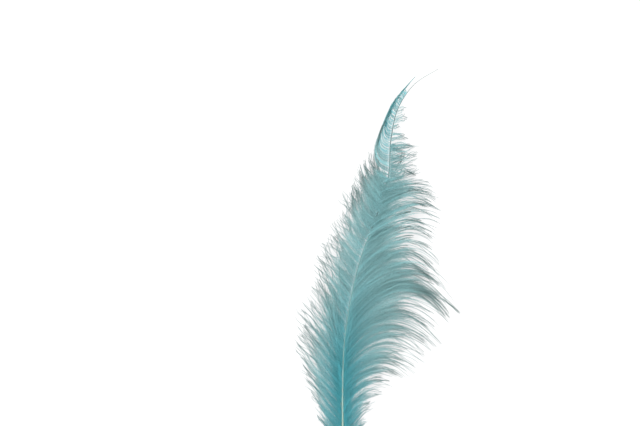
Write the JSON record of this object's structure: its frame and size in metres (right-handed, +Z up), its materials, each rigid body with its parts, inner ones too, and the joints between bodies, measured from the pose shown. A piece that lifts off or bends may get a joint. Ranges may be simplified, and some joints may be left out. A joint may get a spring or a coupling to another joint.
{
  "type": "ostrich feather",
  "caption": "Long dyed plume with a slender bowed shaft and two broad, loose, downy vanes that arch and droop; lies flat as a decoration.",
  "frame": {"origin": "bottom centre of the whole feather's box, on the surface it lies on", "axes": "+Y along the feather towards its tip, +X towards the broader vane, +Z up, with the outer side of the feather up"},
  "size_m": [0.1804, 0.4762, 0.0328],
  "materials": {
    "quill_horn": "smooth dyed horn, satin",
    "barbs": "dyed downy barbs, soft and matt"
  },
  "bodies": {
    "root": {"shaft": "quill_horn", "left_vane": "barbs", "right_vane": "barbs"}
  },
  "joints": []
}
